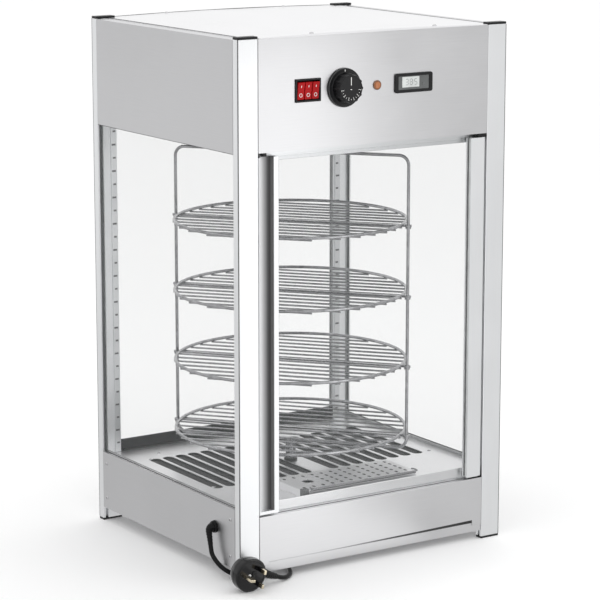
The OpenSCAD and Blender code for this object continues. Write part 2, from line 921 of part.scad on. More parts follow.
// round rack: ring, parallel wires welded under it, and two eyes that hang on the rods
module rack() {
    ring_r = rack_r - rod_r;
    wire_z = -rod_r - wire_r + 0.5;
    rows = floor((ring_r - 12) / wire_pitch + 0.5);
    color("silver")
        difference() {
            union() {
                rotate_extrude()
                    translate([ring_r, 0])
                        circle(r = rod_r);
                for (i = [0:rows - 1])
                    for (s = [-1, 1]) {
                        y = (i + 0.5) * wire_pitch;
                        half = sqrt(ring_r * ring_r - y * y) + 2;
                        translate([-half, s * y, wire_z])
                            rotate([0, 90, 0])
                                cylinder(r = wire_r, h = 2 * half);
                    }
                for (s = [-1, 1])
                    translate([s * frame_r, 0, -4])
                        cylinder(r = 5.5, h = 3);
                block([-frame_r, -2.5, -4], [frame_r, 2.5, -1.6]);
            }
            for (s = [-1, 1])
                translate([s * frame_r, 0, -5])
                    cylinder(r = rod_r + fit, h = 6);
        }
}

module shelf_1() on_axis(rack_z) rack();
module shelf_2() on_axis(rack_z + rack_pitch) rack();
module shelf_3() on_axis(rack_z + 2 * rack_pitch) rack();
module shelf_4() on_axis(rack_z + 3 * rack_pitch) rack();

// ---- moving controls ----

// thermostat knob: skirt, ribbed grip and shaft
module thermostat_knob() {
    ribs = 12;
    color("black")
        translate([knob_x, y_front, control_z])
            rotate([90, 0, 0]) {
                translate([0, 0, 0.6])
                    cylinder(r = 28.8, h = 3.4);
                translate([0, 0, 4])
                    cylinder(r = 21.5, h = knob_reach - 4);
                for (i = [0:ribs - 1])
                    rotate([0, 0, i * 360 / ribs])
                        translate([21.5, 0, 4])
                            cylinder(r = 1.6, h = knob_reach - 4);
                translate([0, 0, -12])
                    cylinder(r = pin_r, h = 12.6);
            }
}

// rocker number i of the triple switch, pressed at its lower end
module rocker(i) {
    color("red")
        translate([switch_x + i * 12.7, rocker_y, control_z])
            rotate([rocker_tilt, 0, 0]) {
                block([-rocker_w / 2, -4.5, -rocker_h / 2 + 0.8], [rocker_w / 2, 0, rocker_h / 2 - 0.8]);
                translate([-rocker_w / 2, 0, 0])
                    rotate([0, 90, 0])
                        cylinder(r = 4, h = rocker_w);
            }
}
module rocker_left() rocker(-1);
module rocker_middle() rocker(0);
module rocker_right() rocker(1);

// ---- water tray ----

module tray_pan() {
    t = 1;
    color("gainsboro")
        translate([tray_x0, tray_y0, floor_z])
            difference() {
                cube([tray_w, tray_d, tray_h]);
                translate([t, t, t])
                    cube([tray_w - 2 * t, tray_d - 2 * t, tray_h]);
            }
}

// perforated lid with a filling hole
module tray_lid() {
    t = 1;
    pitch_x = 17;
    pitch_y = 14;
    color("silver")
        translate([tray_x0, tray_y0, floor_z + tray_h])
            difference() {
                cube([tray_w, tray_d, t]);
                for (i = [0:11])
                    for (j = [0:4])
                        if (i > 2 || j < 1 || j > 3)
                            translate([tray_w / 2 + (i - 5.5) * pitch_x, tray_d / 2 + (j - 2) * pitch_y, -1])
                                cylinder(r = 1.6, h = 3, $fn = 16);
                translate([34, 39, -1])
                    cylinder(r = 8.75, h = 3);
            }
}

post_front_left();
post_front_right();
post_rear_left();
post_rear_right();
post_end_caps();
slotted_strips();
control_panel();
top_panel_left();
top_panel_right();
top_panel_rear();
top_lid();
ceiling_plate();
ceiling_bush();
ceiling_lamp();
door_header();
door_hinge_brackets();
door_catch();
base_fascia();
base_panel_left();
base_panel_right();
base_panel_rear();
front_bottom_rail();
bottom_plate();
floor_plate();
floor_bush();
side_glass_left();
side_glass_right();
rear_glass();
rear_glass_rail();
heating_elements();
gear_motor();
terminal_block();
thermostat_body();
switch_bezel();
pilot_lamp();
thermometer();
case_screws();
cord_gland();
cord_lead();
cord_coil();
cord_tail();
plug_body();
plug_pins();
door_glass();
door_handle();
door_hinge_stile();
door_seals();
drive_shaft();
rack_frame();
shelf_1();
shelf_2();
shelf_3();
shelf_4();
thermostat_knob();
rocker_left();
rocker_middle();
rocker_right();
tray_pan();
tray_lid();
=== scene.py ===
import bpy
import bmesh
import json
import math
from mathutils import Matrix, Vector


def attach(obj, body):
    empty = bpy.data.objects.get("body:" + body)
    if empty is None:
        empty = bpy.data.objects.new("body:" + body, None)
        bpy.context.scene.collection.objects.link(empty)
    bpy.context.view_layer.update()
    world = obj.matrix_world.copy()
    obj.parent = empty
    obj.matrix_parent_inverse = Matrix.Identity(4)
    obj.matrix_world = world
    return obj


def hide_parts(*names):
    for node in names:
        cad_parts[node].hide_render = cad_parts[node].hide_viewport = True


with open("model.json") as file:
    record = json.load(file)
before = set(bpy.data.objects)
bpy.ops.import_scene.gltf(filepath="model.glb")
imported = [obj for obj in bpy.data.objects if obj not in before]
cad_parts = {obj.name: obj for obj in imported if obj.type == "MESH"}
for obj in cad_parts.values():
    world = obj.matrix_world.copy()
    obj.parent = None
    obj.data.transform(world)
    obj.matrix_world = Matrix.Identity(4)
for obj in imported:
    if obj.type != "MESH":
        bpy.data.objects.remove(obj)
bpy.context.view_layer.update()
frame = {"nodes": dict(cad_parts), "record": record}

MM = 0.001
scene = bpy.context.scene
nodes = frame["nodes"]
record = frame["record"]

# ---------------------------------------------------------------- camera

CAM_YAW = math.radians(33.248)
CAM_PITCH = math.radians(11.392)
CAM_TARGET = Vector((0.0, 0.0, 0.3709))
CAM_DISTANCE = 3.911
CAM_LENS = 149.8


def add_camera():
    look = Vector((
        math.sin(CAM_YAW) * math.cos(CAM_PITCH),
        math.cos(CAM_YAW) * math.cos(CAM_PITCH),
        -math.sin(CAM_PITCH),
    ))
    data = bpy.data.cameras.new("camera")
    data.lens = CAM_LENS
    data.sensor_width = 36.0
    data.clip_start = 0.05
    data.clip_end = 200.0
    obj = bpy.data.objects.new("camera", data)
    scene.collection.objects.link(obj)
    obj.location = CAM_TARGET - look * CAM_DISTANCE
    obj.rotation_euler = look.to_track_quat("-Z", "Y").to_euler()
    scene.camera = obj


add_camera()


# ---------------------------------------------------------------- node helpers

def base_material(name, color, metallic, roughness):
    mat = bpy.data.materials.new(name)
    mat.use_nodes = True
    tree = mat.node_tree
    shader = tree.nodes["Principled BSDF"]
    shader.inputs["Base Color"].default_value = (*color[:3], 1.0)
    shader.inputs["Metallic"].default_value = metallic
    shader.inputs["Roughness"].default_value = roughness
    return mat, tree, shader


def noise_field(tree, scale, detail=3.0, stretch=(1.0, 1.0, 1.0), rough=0.5):
    """Noise in the object's own metres, stretched along chosen axes."""
    coord = tree.nodes.new("ShaderNodeTexCoord")
    mapping = tree.nodes.new("ShaderNodeMapping")
    mapping.inputs["Scale"].default_value = stretch
    noise = tree.nodes.new("ShaderNodeTexNoise")
    noise.inputs["Scale"].default_value = scale
    noise.inputs["Detail"].default_value = detail
    noise.inputs["Roughness"].default_value = rough
    tree.links.new(coord.outputs["Object"], mapping.inputs["Vector"])
    tree.links.new(mapping.outputs["Vector"], noise.inputs["Vector"])
    return noise.outputs["Fac"]


def remap(tree, source, low, high):
    node = tree.nodes.new("ShaderNodeMapRange")
    node.inputs["From Min"].default_value = 0.3
    node.inputs["From Max"].default_value = 0.7
    node.inputs["To Min"].default_value = low
    node.inputs["To Max"].default_value = high
    tree.links.new(source, node.inputs["Value"])
    return node.outputs["Result"]


def average(tree, a, b):
    node = tree.nodes.new("ShaderNodeMath")
    node.operation = "ADD"
    half = tree.nodes.new("ShaderNodeMath")
    half.operation = "MULTIPLY"
    half.inputs[1].default_value = 0.5
    tree.links.new(a, node.inputs[0])
    tree.links.new(b, node.inputs[1])
    tree.links.new(node.outputs[0], half.inputs[0])
    return half.outputs[0]


def tint(tree, shader, source, dark, light):
    """Base colour that runs between two tones with a noise field."""
    ramp = tree.nodes.new("ShaderNodeValToRGB")
    ramp.color_ramp.elements[0].position = 0.3
    ramp.color_ramp.elements[1].position = 0.7
    ramp.color_ramp.elements[0].color = (*dark, 1.0)
    ramp.color_ramp.elements[1].color = (*light, 1.0)
    tree.links.new(source, ramp.inputs["Fac"])
    tree.links.new(ramp.outputs["Color"], shader.inputs["Base Color"])


def bumped(tree, shader, source, strength, distance):
    bump = tree.nodes.new("ShaderNodeBump")
    bump.inputs["Strength"].default_value = strength
    bump.inputs["Distance"].default_value = distance
    tree.links.new(source, bump.inputs["Height"])
    tree.links.new(bump.outputs["Normal"], shader.inputs["Normal"])


def shade(color, factor):
    return tuple(min(1.0, c * factor) for c in color[:3])


def brushed_metal(name, color, roughness, grain_axis, vary=0.05, grain=0.12):
    """Sheet metal with a fine grain along one axis and faint large smudges."""
    mat, tree, shader = base_material(name, color, 1.0, roughness)
    stretch = [1.0, 1.0, 1.0]
    stretch["XYZ".index(grain_axis)] = 0.012
    lines = noise_field(tree, 1400.0, 3.0, stretch, 0.6)
    smudge = noise_field(tree, 7.0, 4.0)
    both = average(tree, lines, smudge)
    tint(tree, shader, both, shade(color, 1 - vary), shade(color, 1 + vary))
    tree.links.new(remap(tree, both, roughness - 0.06, roughness + 0.08), shader.inputs["Roughness"])
    bumped(tree, shader, lines, grain, 0.00012)
    return mat


def moulded(name, color, roughness, grain=0.12, coat=0.0, shine=0.5):
    """Moulded plastic or rubber with a fine texture."""
    mat, tree, shader = base_material(name, color, 0.0, roughness)
    shader.inputs["Specular IOR Level"].default_value = shine
    fine = noise_field(tree, 2600.0, 2.0)
    cloud = noise_field(tree, 45.0, 3.0)
    tint(tree, shader, cloud, shade(color, 0.86), shade(color, 1.14))
    tree.links.new(remap(tree, cloud, roughness - 0.07, roughness + 0.09), shader.inputs["Roughness"])
    bumped(tree, shader, fine, grain, 0.0001)
    if coat > 0:
        shader.inputs["Coat Weight"].default_value = coat
        shader.inputs["Coat Roughness"].default_value = 0.08
    return mat


def plated(name, color, roughness, low=0.88, high=1.1):
    """Bright plated wire: nearly smooth, with slight ripples; wide low and high bounds make streaks of
    painted reflection.
    """
    mat, tree, shader = base_material(name, color, 1.0, roughness)
    ripple = noise_field(tree, 90.0, 3.0)
    tint(tree, shader, ripple, shade(color, low), shade(color, high))
    tree.links.new(remap(tree, ripple, roughness - 0.05, roughness + 0.07), shader.inputs["Roughness"])
    return mat


def clear_glass(name, color, alpha, roughness=0.04):
    """Clear sheet: mostly see-through, with a faint film of smears."""
    mat, tree, shader = base_material(name, color, 0.0, roughness)
    shader.inputs["Alpha"].default_value = alpha
    shader.inputs["IOR"].default_value = 1.5
    smear = noise_field(tree, 12.0, 4.0)
    tree.links.new(remap(tree, smear, roughness, roughness + 0.08), shader.inputs["Roughness"])
    bumped(tree, shader, smear, 0.02, 0.0005)
    return mat


# ---------------------------------------------------------------- materials

WHITE_MARK = (0.82, 0.82, 0.80)

MATS = {
    "anodised_aluminium": brushed_metal("anodised_aluminium", (0.86, 0.87, 0.88), 0.42, "Z", 0.03, 0.08),
    "black_plastic": moulded("black_plastic", (0.007, 0.007, 0.008), 0.42, shine=0.3),
    "strip_steel": brushed_metal("strip_steel", (0.70, 0.71, 0.72), 0.34, "Z", 0.05),
    "head_steel": brushed_metal("head_steel", (0.66, 0.66, 0.67), 0.36, "X", 0.06, 0.16),
    "lid_steel": brushed_metal("lid_steel", (0.80, 0.80, 0.81), 0.30, "X", 0.03, 0.06),
    "inner_steel": brushed_metal("inner_steel", (0.46, 0.46, 0.47), 0.40, "X"),
    "white_plastic": moulded("white_plastic", (0.80, 0.80, 0.77), 0.45),
    "lamp_cover": moulded("lamp_cover", (0.92, 0.91, 0.86), 0.25, 0.05, 0.4),
    "base_steel": brushed_metal("base_steel", (0.68, 0.68, 0.69), 0.36, "X", 0.05, 0.14),
    "floor_steel": brushed_metal("floor_steel", (0.80, 0.80, 0.81), 0.32, "Y", 0.04, 0.08),
    "tray_lid_steel": brushed_metal("tray_lid_steel", (0.72, 0.72, 0.73), 0.30, "X", 0.05, 0.1),
    "pane_glass": clear_glass("pane_glass", (0.42, 0.44, 0.44), 0.06),
    "heater_sheath": moulded("heater_sheath", (0.060, 0.052, 0.046), 0.6),
    "motor_metal": brushed_metal("motor_metal", (0.30, 0.30, 0.31), 0.45, "Z"),
    "amber_lens": moulded("amber_lens", (0.40, 0.13, 0.035), 0.24, 0.05, 0.5),
    "screw_steel": plated("screw_steel", (0.62, 0.62, 0.63), 0.24),
    "cord_rubber": moulded("cord_rubber", (0.005, 0.005, 0.0055), 0.32, 0.14, shine=0.16),
    "plug_brass": plated("plug_brass", (0.74, 0.66, 0.50), 0.24),
    "seal_rubber": moulded("seal_rubber", (0.035, 0.036, 0.038), 0.6, 0.15),
    # painted reflection: chrome made dark grey, with wide streaks of tone for dark and bright reflections
    "rack_chrome": plated("rack_chrome", (0.36, 0.36, 0.37), 0.17, 0.78, 1.25),
    "red_rocker": moulded("red_rocker", (0.36, 0.004, 0.006), 0.30, 0.04, shine=0.14),
}
# painted shade: darker copies of the head and base steel, for the side panels that face away from the light
MAT_SIDE_SHADED = brushed_metal("side_painted_shade", (0.60, 0.60, 0.61), 0.36, "Y", 0.06, 0.16)
MAT_BASE_SIDE_SHADED = brushed_metal("base_side_painted_shade", (0.60, 0.60, 0.61), 0.36, "Y", 0.05, 0.14)
MAT_GLASS_EDGE = clear_glass("pane_edge", (0.50, 0.60, 0.58), 0.22, 0.2)
MAT_MARK = moulded("white_marks", WHITE_MARK, 0.5, 0.04)
MAT_DARK_GREY = moulded("dark_grey_face", (0.085, 0.086, 0.088), 0.4, 0.06)
MAT_DISPLAY = moulded("display_silver", (0.60, 0.62, 0.61), 0.35, 0.03, 0.3)
MAT_WINDOW = moulded("window_grey", (0.10, 0.105, 0.105), 0.2, 0.02, 0.5)
MAT_SEGMENT = moulded("display_segment", (0.20, 0.21, 0.21), 0.4, 0.02)
# painted shade for recesses: screw crosses and slots
MAT_RECESS_SHADE = moulded("painted_recess_shade", (0.02, 0.02, 0.02), 0.7, 0.1)
MAT_COPPER = brushed_metal("lamp_ring", (0.26, 0.15, 0.10), 0.34, "Z", 0.08)
# painted shade: near black sheet under the tray lid's holes
MAT_TRAY_SHADE = moulded("tray_shade_water", (0.020, 0.022, 0.022), 0.12, 0.0)
MAT_PLUG = moulded("plug_black", (0.004, 0.004, 0.0045), 0.16, 0.05, 0.35, 0.2)


def painted_gradient(name, axis, start, end, tones, roughness):
    """Painted shade: a tone that runs across a profile, in the object's own metres."""
    mat, tree, shader = base_material(name, tones[0][1], 0.0, roughness)
    coord = tree.nodes.new("ShaderNodeTexCoord")
    split = tree.nodes.new("ShaderNodeSeparateXYZ")
    place = tree.nodes.new("ShaderNodeMapRange")
    place.inputs["From Min"].default_value = start * MM
    place.inputs["From Max"].default_value = end * MM
    ramp = tree.nodes.new("ShaderNodeValToRGB")
    points = ramp.color_ramp.elements
    points[0].position, points[1].position = tones[0][0], tones[-1][0]
    points[0].color, points[1].color = (*tones[0][1], 1.0), (*tones[-1][1], 1.0)
    for position, tone in tones[1:-1]:
        points.new(position).color = (*tone, 1.0)
    tree.links.new(coord.outputs["Object"], split.inputs["Vector"])
    tree.links.new(split.outputs[axis], place.inputs["Value"])
    tree.links.new(place.outputs["Result"], ramp.inputs["Fac"])
    tree.links.new(ramp.outputs["Color"], shader.inputs["Base Color"])
    fine = noise_field(tree, 2000.0, 2.0, (1.0, 1.0, 0.02))
    tree.links.new(remap(tree, fine, roughness - 0.05, roughness + 0.08), shader.inputs["Roughness"])
    bumped(tree, shader, fine, 0.08, 0.0001)
    return mat


# painted shade in the handle's cove, pale at its outer edge and near black inside
MAT_COVE_PAINTED_SHADE = painted_gradient("grip_cove_painted_shade", "X", -204.0, -179.5, [
    (0.0, (0.86, 0.86, 0.87)), (0.28, (0.66, 0.66, 0.67)), (0.52, (0.32, 0.32, 0.325)),
    (0.75, (0.080, 0.080, 0.082)), (0.92, (0.030, 0.030, 0.031)), (1.0, (0.2, 0.2, 0.2))], 0.45)
# painted shadow of the gap over the front rail, pale at the left and black at the right
MAT_RAIL_GAP_SHADE = painted_gradient("rail_gap_shadow_strip_tone", "X", -187.0, 187.0, [
    (0.0, (0.70, 0.70, 0.71)), (0.3, (0.40, 0.40, 0.41)), (0.62, (0.05, 0.05, 0.05)),
    (1.0, (0.012, 0.012, 0.012))], 0.55)
# painted shade for cavities: the tray lid's holes and the space under the slotted floor
MAT_SHADE = moulded("painted_cavity_shade", (0.035, 0.035, 0.036), 0.75, 0.2)
MAT_CLEAR_SEAL = moulded("clear_seal", (0.50, 0.51, 0.51), 0.4, 0.08)
# real dark grey of the tray's corner block, also painted shade in the strips' slots
MAT_GREY_BLOCK_AND_SLOT_SHADE = moulded("corner_grey_and_slot_shade", (0.13, 0.13, 0.135), 0.45, 0.1)
# dark grey for real seams and gaskets, also painted shadow lines at gaps
MAT_SEAM_AND_SHADOW = moulded("seam_and_shadow_grey", (0.11, 0.11, 0.115), 0.6, 0.1)


# ---------------------------------------------------------------- mesh helpers

def join_meshes(parts):
    """[(vertices in mm, faces, material index)] to one vertex list, face list and index list."""
    verts, faces, index = [], [], []
    for part_verts, part_faces, slot_index in parts:
        start = len(verts)
        verts.extend(part_verts)
        faces.extend([tuple(start + i for i in f) for f in part_faces])
        index.extend([slot_index] * len(part_faces))
    return verts, faces, index


def piece(name, parts, mats, body, replaced=(), smooth=35.0, bevel=0.0, segments=2):
    """One Blender object from mesh parts, riding on a body."""
    verts, faces, index = join_meshes(parts)
    mesh = bpy.data.meshes.new(name)
    mesh.from_pydata([[c * MM for c in v] for v in verts], [], faces)
    for mat in mats:
        mesh.materials.append(mat)
    mesh.polygons.foreach_set("material_index", index)
    mesh.polygons.foreach_set("use_smooth", [True] * len(faces))
    mesh.validate()
    work = bmesh.new()
    work.from_mesh(mesh)
    bmesh.ops.recalc_face_normals(work, faces=work.faces)
    work.to_mesh(mesh)
    work.free()
    obj = bpy.data.objects.new(name, mesh)
    scene.collection.objects.link(obj)
    if bevel > 0:
        soften(obj, bevel, segments)
    else:
        mesh.set_sharp_from_angle(angle=math.radians(smooth))
    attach(obj, body)
    if replaced:
        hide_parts(*replaced)
    return obj


def soften(obj, width, segments=2, angle=32.0):
    mod = obj.modifiers.new("edges", "BEVEL")
    mod.width = width * MM
    mod.segments = segments
    mod.limit_method = "ANGLE"
    mod.angle_limit = math.radians(angle)
    mod.use_clamp_overlap = True
    weighted = obj.modifiers.new("normals", "WEIGHTED_NORMAL")
    weighted.keep_sharp = True
    weighted.weight = 80


def block(low, high):
    (x0, y0, z0), (x1, y1, z1) = low, high
    verts = [(x0, y0, z0), (x1, y0, z0), (x1, y1, z0), (x0, y1, z0),
             (x0, y0, z1), (x1, y0, z1), (x1, y1, z1), (x0, y1, z1)]
    faces = [(3, 2, 1, 0), (4, 5, 6, 7), (0, 1, 5, 4), (1, 2, 6, 5), (2, 3, 7, 6), (3, 0, 4, 7)]
    return verts, faces


def moved(part, matrix):
    verts, faces = part
    return [tuple(matrix @ Vector(v)) for v in verts], faces


def lathe(profile, sides=64, radius_at=None):
    """Revolve (radius, height) pairs about Z; radius_at scales the radius by angle."""
    verts, faces = [], []
    for r, h in profile:
        for i in range(sides):
            a = 2 * math.pi * i / sides
            k = radius_at(a, r, h) if radius_at else r
            verts.append((k * math.cos(a), k * math.sin(a), h))
    for j in range(len(profile) - 1):
        for i in range(sides):
            n = (i + 1) % sides
            faces.append((j * sides + i, j * sides + n, (j + 1) * sides + n, (j + 1) * sides + i))
    faces.append(tuple(range(sides - 1, -1, -1)))
    faces.append(tuple((len(profile) - 1) * sides + i for i in range(sides)))
    return verts, faces


def prism(outline, z0, z1):
    """Extrude a closed XY outline."""
    n = len(outline)
    verts = [(x, y, z0) for x, y in outline] + [(x, y, z1) for x, y in outline]
    faces = [tuple(range(n - 1, -1, -1)), tuple(range(n, 2 * n))]
    for i in range(n):
        k = (i + 1) % n
        faces.append((i, k, n + k, n + i))
    return verts, faces


def bar_between(low, high):
    """A bar between two matching end outlines, given as lists of points in the same order."""
    n = len(low)
    verts = low + high
    faces = [tuple(range(n)), tuple(range(2 * n - 1, n - 1, -1))]
    faces += [(i, (i + 1) % n, n + (i + 1) % n, n + i) for i in range(n)]
    return verts, faces


def rounded_rect(w, h, r, steps=6):
    points = []
    for cx, cy, start in ((w / 2 - r, h / 2 - r, 0), (r - w / 2, h / 2 - r, 90),
                          (r - w / 2, r - h / 2, 180), (w / 2 - r, r - h / 2, 270)):
        for i in range(steps + 1):
            a = math.radians(start + 90 * i / steps)
            points.append((cx + r * math.cos(a), cy + r * math.sin(a)))
    return points


def catmull(points, steps):
    """A smooth line through points."""
    pts = [Vector(p) for p in points]
    out = []
    for i in range(len(pts) - 1):
        p0 = pts[max(i - 1, 0)]
        p1, p2 = pts[i], pts[i + 1]
        p3 = pts[min(i + 2, len(pts) - 1)]
        for s in range(steps):
            t = s / steps
            out.append(0.5 * (2 * p1 + (p2 - p0) * t + (2 * p0 - 5 * p1 + 4 * p2 - p3) * t * t
                              + (3 * p1 - p0 - 3 * p2 + p3) * t ** 3))
    out.append(pts[-1])
    return out


def tube(points, radii, sides=16):
    """A round tube along points, with one radius for each, or one for all."""
    pts = [Vector(p) for p in points]
    if not hasattr(radii, "__len__"):
        radii = [radii] * len(pts)
    verts, faces = [], []
    tangent = (pts[1] - pts[0]).normalized()
    side = tangent.orthogonal().normalized()
    for i, p in enumerate(pts):
        ahead = pts[min(i + 1, len(pts) - 1)] - pts[max(i - 1, 0)]
        new = ahead.normalized()
        side = (tangent.rotation_difference(new) @ side).normalized()
        tangent = new
        up = tangent.cross(side)
        for k in range(sides):
            a = 2 * math.pi * k / sides
            verts.append(tuple(p + radii[i] * (math.cos(a) * side + math.sin(a) * up)))
    for i in range(len(pts) - 1):
        for k in range(sides):
            n = (k + 1) % sides
            faces.append((i * sides + k, i * sides + n, (i + 1) * sides + n, (i + 1) * sides + k))
    faces.append(tuple(range(sides - 1, -1, -1)))
    faces.append(tuple((len(pts) - 1) * sides + k for k in range(sides)))
    return verts, faces


def to_front(x, y, z):
    """A frame whose +Z points to the front (-Y) and whose +Y points up, at a point in mm."""
    return Matrix.Translation((x, y, z)) @ Matrix.Rotation(math.radians(90), 4, "X")


# ---------------------------------------------------------------- cord

CORD_D = 7.0
LEAD = [(-251, -139.4, 50), (-251, -140.6, 44.5), (-251, -143.4, 37), (-250, -149, 30.4),
        (-247.5, -155, 24), (-243.5, -161.5, 18), (-237.5, -167.5, 12.8), (-229.5, -171.5, 8.6),
        (-220.5, -173.5, 5.6), (-210.5, -173, 4), (-199.5, -170, 3.5), (-188, -164.5, 3.5),
        (-176, -156, 3.5), (-164, -145, 3.5), (-152, -132, 3.5), (-140, -116.5, 3.5),
        (-129, -99, 3.5), (-119.5, -80, 3.5), (-111.5, -60, 3.5), (-104, -38, 3.5),
        (-96, -16, 3.5), (-87.5, 5, 3.5), (-79, 24, 3.5)]
TAIL = [(14, 27.4, 10.5), (12.4, 13.5, 9.6), (7.1, -1.2, 8.2), (-3.3, -14.8, 6.6),
        (-18.5, -25, 5.2), (-34.5, -32, 4.1), (-50, -39.5, 3.5), (-64.5, -48.5, 3.5),
        (-77.5, -59, 3.5), (-89, -71.5, 3.5), (-98.5, -86, 3.5), (-106.5, -101, 3.5),
        (-113.5, -117, 3.5), (-119.5, -131.5, 3.5), (-125.5, -147.5, 3.5), (-132, -164.5, 3.5),
        (-138.5, -181.5, 3.5), (-146, -196, 3.5), (-154.5, -206.5, 3.5), (-165, -214, 4.3),
        (-176, -218.5, 6.8), (-187, -221, 11)]
COIL_CENTRE = (-30.0, 40.0)
COIL_OUT = 44.1
COIL_IN = 36.9
COIL_TURNS = 3.5
COIL_POINTS = 24


def ease(turn, start, end):
    t = min(1.0, max(0.0, (turn - start) / (end - start)))
    return t * t * (3 - 2 * t)


def coil_points():
    """Two turns wide and two layers high, wound outside in, up, and inside out."""
    points = []
    count = int(COIL_TURNS * COIL_POINTS)
    for i in range(count + 1):
        turn = i / COIL_POINTS
        inward = ease(turn, 0.76, 1.0) - ease(turn, 2.5, 2.76)
        lift = ease(turn, 1.62, 1.9)
        r = COIL_OUT + (COIL_IN - COIL_OUT) * inward
        z = 3.5 + 7.05 * lift
        a = math.pi - 2 * math.pi * turn
        points.append((COIL_CENTRE[0] + r * math.cos(a), COIL_CENTRE[1] + r * math.sin(a), z))
    return points


CORD_ROUTE = LEAD + coil_points() + TAIL


def add_cord():
    curve = bpy.data.curves.new("supply_cord", "CURVE")
    curve.dimensions = "3D"
    curve.bevel_depth = CORD_D / 2 * MM
    curve.bevel_resolution = 5
    curve.resolution_u = 5
    curve.use_fill_caps = True
    spline = curve.splines.new("BEZIER")
    spline.bezier_points.add(len(CORD_ROUTE) - 1)
    for point, place in zip(spline.bezier_points, CORD_ROUTE):
        point.co = [c * MM for c in place]
        point.handle_left_type = "AUTO"
        point.handle_right_type = "AUTO"
    curve.materials.append(MATS["cord_rubber"])
    obj = bpy.data.objects.new("supply_cord", curve)
    scene.collection.objects.link(obj)
    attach(obj, "case")
    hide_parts("cord_lead", "cord_coil", "cord_tail")
    return obj


def add_tie():
    """A twist of ribbed strap round the coil, with its two short ends."""
    cx, cy = COIL_CENTRE
    a = math.radians(62)
    mid = (COIL_OUT + COIL_IN) / 2
    ring = []
    for i in range(41):
        t = 2 * math.pi * i / 40
        w = 8.1 * math.copysign(abs(math.cos(t)) ** 0.6, math.cos(t))
        h = 7.9 * math.copysign(abs(math.sin(t)) ** 0.6, math.sin(t))
        r = mid + w
        ring.append((cx + r * math.cos(a), cy + r * math.sin(a), max(0.6, 7.3 + h)))
    head = Matrix.Translation((cx + (mid + 9) * math.cos(a), cy + (mid + 9) * math.sin(a), 8))
    lock = lathe([(0.4, -2.4), (2.2, -2.0), (2.6, 0), (2.2, 2.0), (0.4, 2.4)], 16)
    parts = [(*tube(ring, 1.0, 8), 0), (*moved(lock, head), 0)]
    for da in (-0.12, 0.1):
        tail = [(cx + (mid + 9 + s * 0.6) * math.cos(a + da * s / 8),
                 cy + (mid + 9 + s * 0.6) * math.sin(a + da * s / 8), 8 - s * 0.45) for s in range(0, 13, 2)]
        parts.append((*tube(tail, 0.8, 8), 0))
    return piece("cord_tie", parts, [MATS["cord_rubber"]], "case")


# the gland: flanged nut on the panel, domed clamp nut, elbow and ribbed taper
ELBOW = [(-244.5, -134, 75), (-247, -134, 74.5), (-249.3, -134.2, 72.8), (-250.6, -134.9, 70),
         (-251, -135.9, 66), (-251, -137, 61), (-251, -138.2, 55.5), (-251, -139.4, 50)]


def hexed(a, r, h):
    """Six flattened sides on the wide part of the gland nut."""
    return r * (1 - 0.035 * (1 - abs(math.cos(3 * a)))) if r > 8 else r


def add_gland():
    out = Matrix.Translation((-240, -134, 75)) @ Matrix.Rotation(math.radians(-90), 4, "Y")
    nut = lathe([(6, -2), (9.5, 0.05), (9.6, 0.9), (9.0, 1.2), (9.1, 3.6), (8.4, 4.6), (6, 4.9)], 72, hexed)
    line = catmull(ELBOW, 6)
    radii = []
    for i in range(len(line)):
        t = i / (len(line) - 1)
        rib = 0.25 * math.cos(i * 2 * math.pi / 5) if 0.3 < t < 0.95 else 0.0
        radii.append(3.8 + 3.3 * (1 - t) ** 1.7 + rib)
    parts = [(*moved(nut, out), 0), (*tube(line, radii, 24), 0)]
    return piece("cord_gland_nut", parts, [MATS["cord_rubber"]], "case", ("cord_gland",))


# ---------------------------------------------------------------- plug

PLUG = Matrix.Translation((-241, -238.6, 25.7)) @ Matrix.Rotation(math.radians(-84), 4, "X") \
    @ Matrix.Rotation(math.radians(8), 4, "Z")
BOOT = [(-187, -221, 11), (-194, -222.6, 13.7), (-202, -224, 17), (-210, -225, 21), (-219, -225.5, 25.5)]


def scallop(a, r, h):
    """Two finger hollows in the plug, above its pin face."""
    return r * (1 - 0.035 * max(0.0, math.cos(2 * (a - 1.57))) ** 3 * (h > 3))


